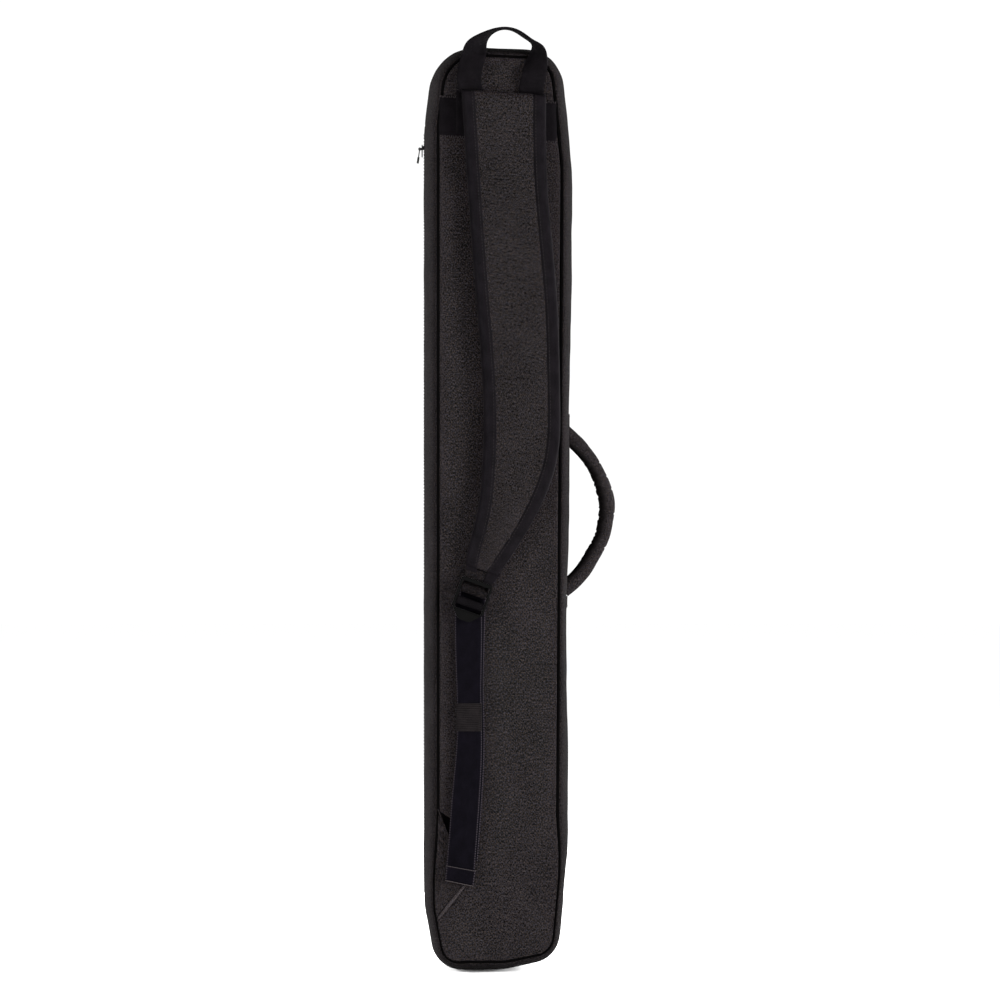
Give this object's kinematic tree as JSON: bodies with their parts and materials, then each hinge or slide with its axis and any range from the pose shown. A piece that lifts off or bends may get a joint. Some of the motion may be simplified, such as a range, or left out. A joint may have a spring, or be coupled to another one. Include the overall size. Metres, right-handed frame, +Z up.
{
  "type": "telescope carry case",
  "caption": "Long padded soft case with a side zip, a padded shoulder strap and ladder lock on its back, a curved side handle and a webbing grab loop.",
  "frame": {"origin": "on the floor under the middle of the case's lower end", "axes": "+Z up along the case's length, +X towards the side handle, -Y out of the back panel that carries the shoulder strap"},
  "size_m": [0.1913, 0.1236, 0.8982],
  "materials": {
    "case_fabric": "matte",
    "foam": "matte",
    "lining": "matte",
    "piping": "matte",
    "webbing": "matte",
    "binding": "matte",
    "strap_mesh": "matte",
    "elastic": "matte",
    "zip_tape": "matte",
    "zip_teeth": "matte",
    "zip_metal": "matte",
    "moulded_black": "satin"
  },
  "bodies": {
    "case": {"back_panel": "case_fabric", "back_foam": "foam", "back_lining": "lining", "back_piping": "piping", "upper_gusset": "case_fabric", "lower_gusset": "case_fabric", "handle_gusset": "case_fabric", "rear_zip_gusset": "case_fabric", "top_foam": "foam", "bottom_foam": "foam", "right_foam": "foam", "rear_zip_foam": "foam", "front_border_foam": "foam", "side_lining": "lining", "front_border_lining": "lining", "front_border": "case_fabric", "front_piping": "piping", "bottom_end_pad": "foam", "top_end_pad": "foam", "rear_zip_tape": "zip_tape", "rear_zip_teeth": "zip_teeth", "zip_stops": "zip_metal", "back_band": "webbing", "grab_loop_tails": "webbing", "strap_anchor": "webbing", "strap_tab": "case_fabric", "handle_seam_patches": "case_fabric"},
    "front_flap": {"front_panel": "case_fabric", "front_foam": "foam", "front_lining": "lining", "front_zip_gusset": "case_fabric", "front_zip_foam": "foam", "front_zip_lining": "lining", "front_flap_piping": "piping", "front_zip_tape": "zip_tape", "front_zip_teeth": "zip_teeth"},
    "slider": {"zip_slider": "zip_metal"},
    "zip_pull": {"zip_pull_link": "zip_metal", "zip_pull_grip": "moulded_black"},
    "side_handle": {"handle_core": "webbing", "handle_cover": "case_fabric", "handle_grip_strip": "binding"},
    "top_loop": {"grab_loop": "webbing"},
    "shoulder_strap": {"strap_backing": "strap_mesh", "strap_foam": "foam", "strap_cover": "case_fabric", "strap_binding_left": "binding", "strap_binding_right": "binding", "buckle_loop": "case_fabric"},
    "lock": {"ladder_lock": "moulded_black", "webbing_turn": "webbing"},
    "lower_webbing": {"webbing_anchor": "webbing", "webbing_tail": "webbing", "tail_hem": "webbing"},
    "keeper": {"elastic_keeper": "elastic"}
  },
  "joints": [
    {"name": "flap_open", "type": "hinge", "parent": "case", "child": "front_flap", "pos_m": [0.0503, 0.0552, 0.436], "axis": [0, 0, -1], "range_deg": [0, 35]},
    {"name": "zip_slide", "type": "slide", "parent": "case", "child": "slider", "axis": [0, 0, 1], "range_m": [-0.7, 0]},
    {"name": "pull_swing", "type": "hinge", "parent": "slider", "child": "zip_pull", "pos_m": [-0.0742, 0, 0.786], "axis": [0, 1, 0], "range_deg": [0, 150]},
    {"name": "handle_swing", "type": "hinge", "parent": "case", "child": "side_handle", "pos_m": [0.072, 0, 0.4385], "axis": [0, 0, 1], "range_deg": [-70, 70]},
    {"name": "loop_fold", "type": "hinge", "parent": "case", "child": "top_loop", "pos_m": [0, -0.0577, 0.846], "axis": [1, 0, 0], "range_deg": [0, 90]},
    {"name": "strap_lift", "type": "hinge", "parent": "case", "child": "shoulder_strap", "pos_m": [0, -0.0586, 0.8385], "axis": [-1, 0, 0], "range_deg": [0, 8]},
    {"name": "webbing_swing", "type": "hinge", "parent": "shoulder_strap", "child": "lower_webbing", "pos_m": [-0.0283, -0.0608, 0.351], "axis": [1, 0, 0], "range_deg": [0, 23]},
    {"name": "lock_tilt", "type": "hinge", "parent": "shoulder_strap", "child": "lock", "pos_m": [-0.02409, -0.0637, 0.36252], "axis": [-0.9421, 0, 0.3355], "range_deg": [0, 10]},
    {"name": "keeper_slide", "type": "slide", "parent": "lower_webbing", "child": "keeper", "axis": [0, 0, 1], "range_m": [-0.012, 0.07]}
  ],
  "couplings": [
    {"joint": "webbing_swing", "follows": "strap_lift", "ratio": 2.8327}
  ]
}
